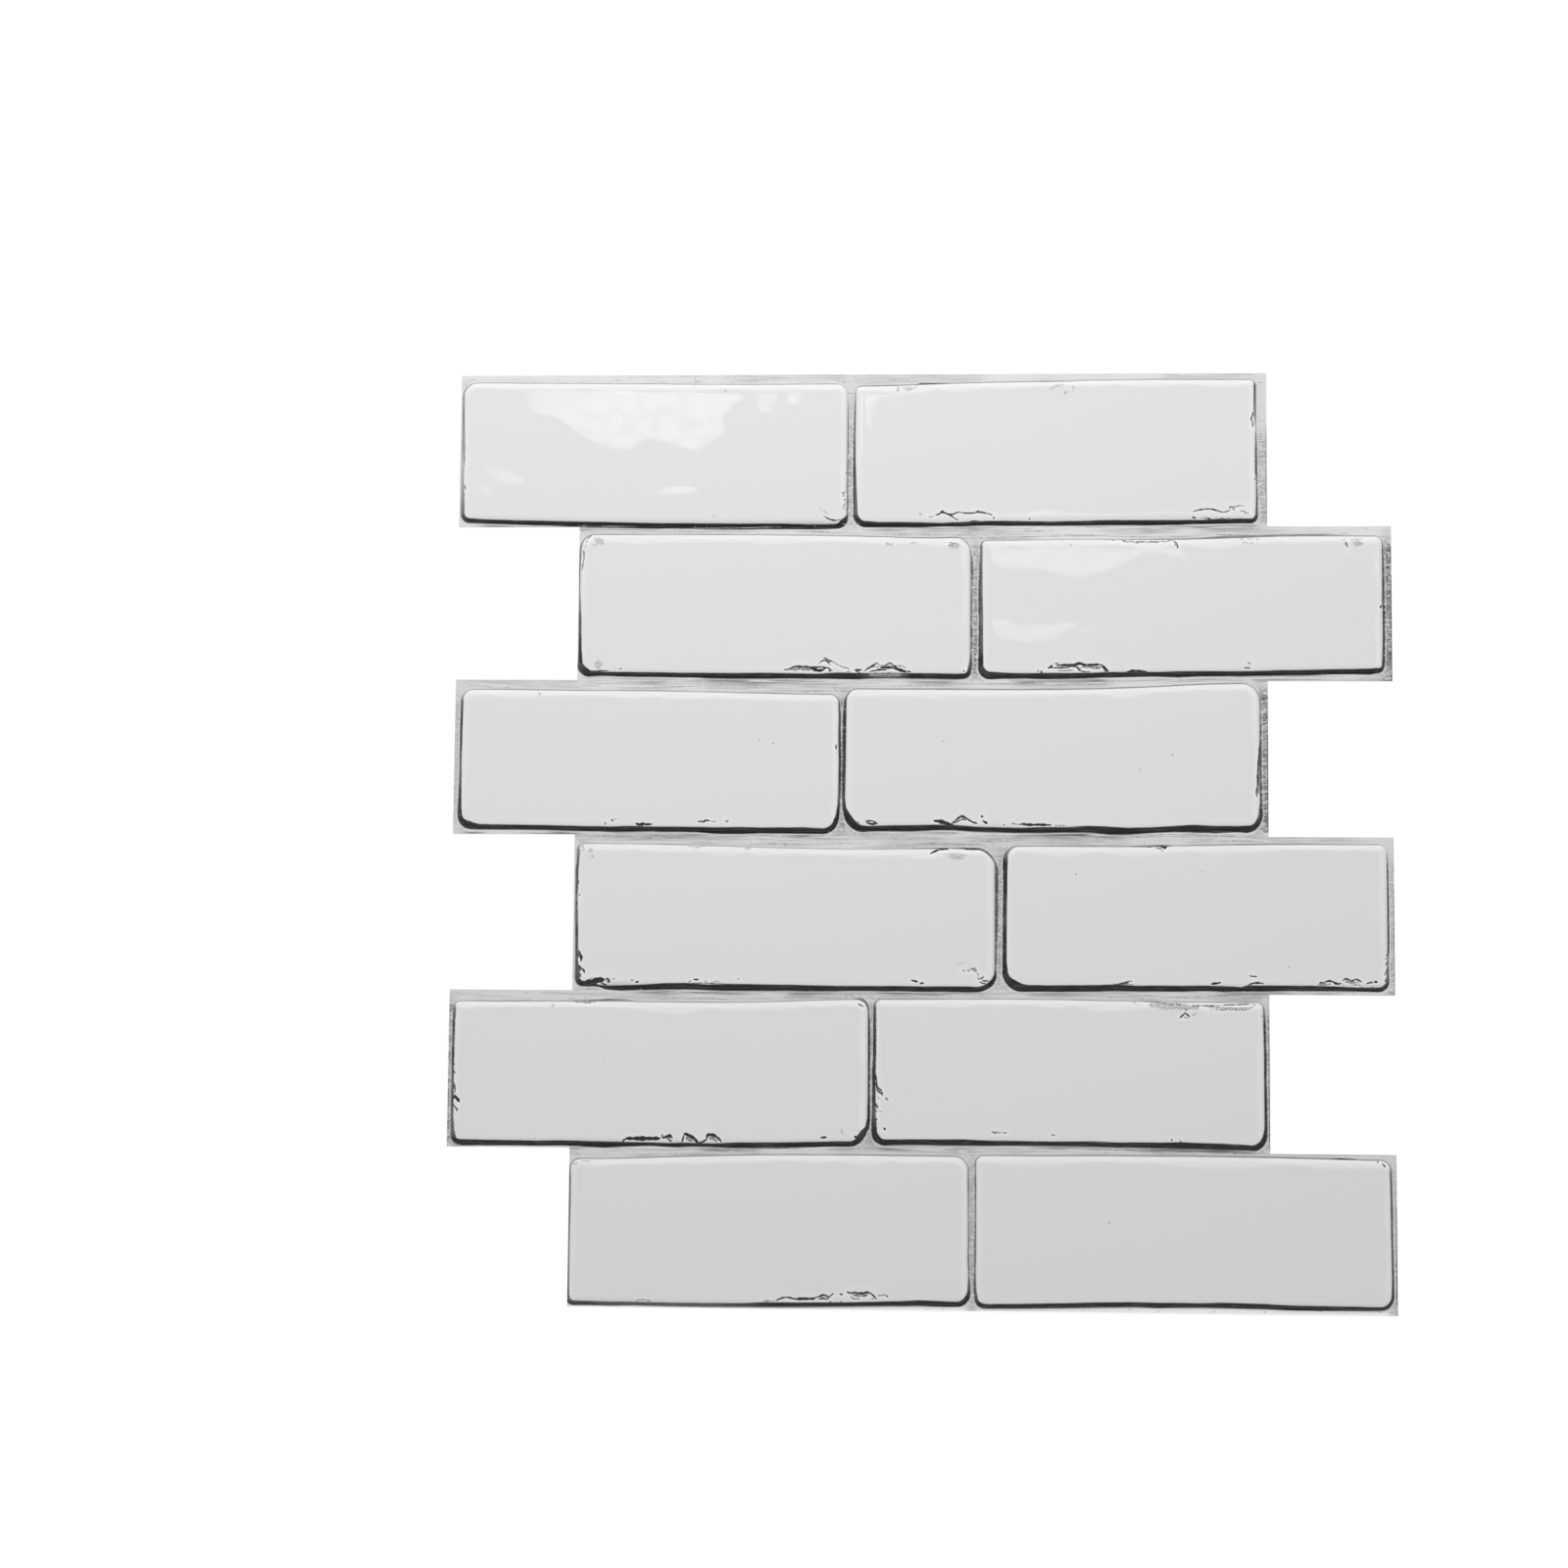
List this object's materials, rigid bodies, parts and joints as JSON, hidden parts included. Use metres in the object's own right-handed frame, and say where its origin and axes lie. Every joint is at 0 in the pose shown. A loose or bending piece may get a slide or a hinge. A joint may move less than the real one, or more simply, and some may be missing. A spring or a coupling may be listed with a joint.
{
  "type": "peel and stick backsplash tile sheet",
  "caption": "Square self-adhesive wall sheet of stepped rows of glossy white gel tiles with hand-made edges on a grout-grey printed film, with a paper liner on its back.",
  "frame": {"origin": "middle of the sheet's square outline, on the back face of the release liner, which is the level that the sheet lies on", "axes": "+Z out of the tiles' face, +Y towards the first row of tiles, +X along the rows to the right, towards the side that the second row steps to"},
  "size_m": [0.3048, 0.3048, 0.002],
  "materials": {
    "liner_paper": "siliconised, satin",
    "grout_film": "printed, fine sand texture",
    "white_gel": "cast, high gloss"
  },
  "bodies": {
    "root": {"release_liner": "liner_paper", "printed_film": "grout_film", "tile_1_left": "white_gel", "tile_1_right": "white_gel", "tile_2_left": "white_gel", "tile_2_right": "white_gel", "tile_3_left": "white_gel", "tile_3_right": "white_gel", "tile_4_left": "white_gel", "tile_4_right": "white_gel", "tile_5_left": "white_gel", "tile_5_right": "white_gel", "tile_6_left": "white_gel", "tile_6_right": "white_gel"}
  },
  "joints": []
}
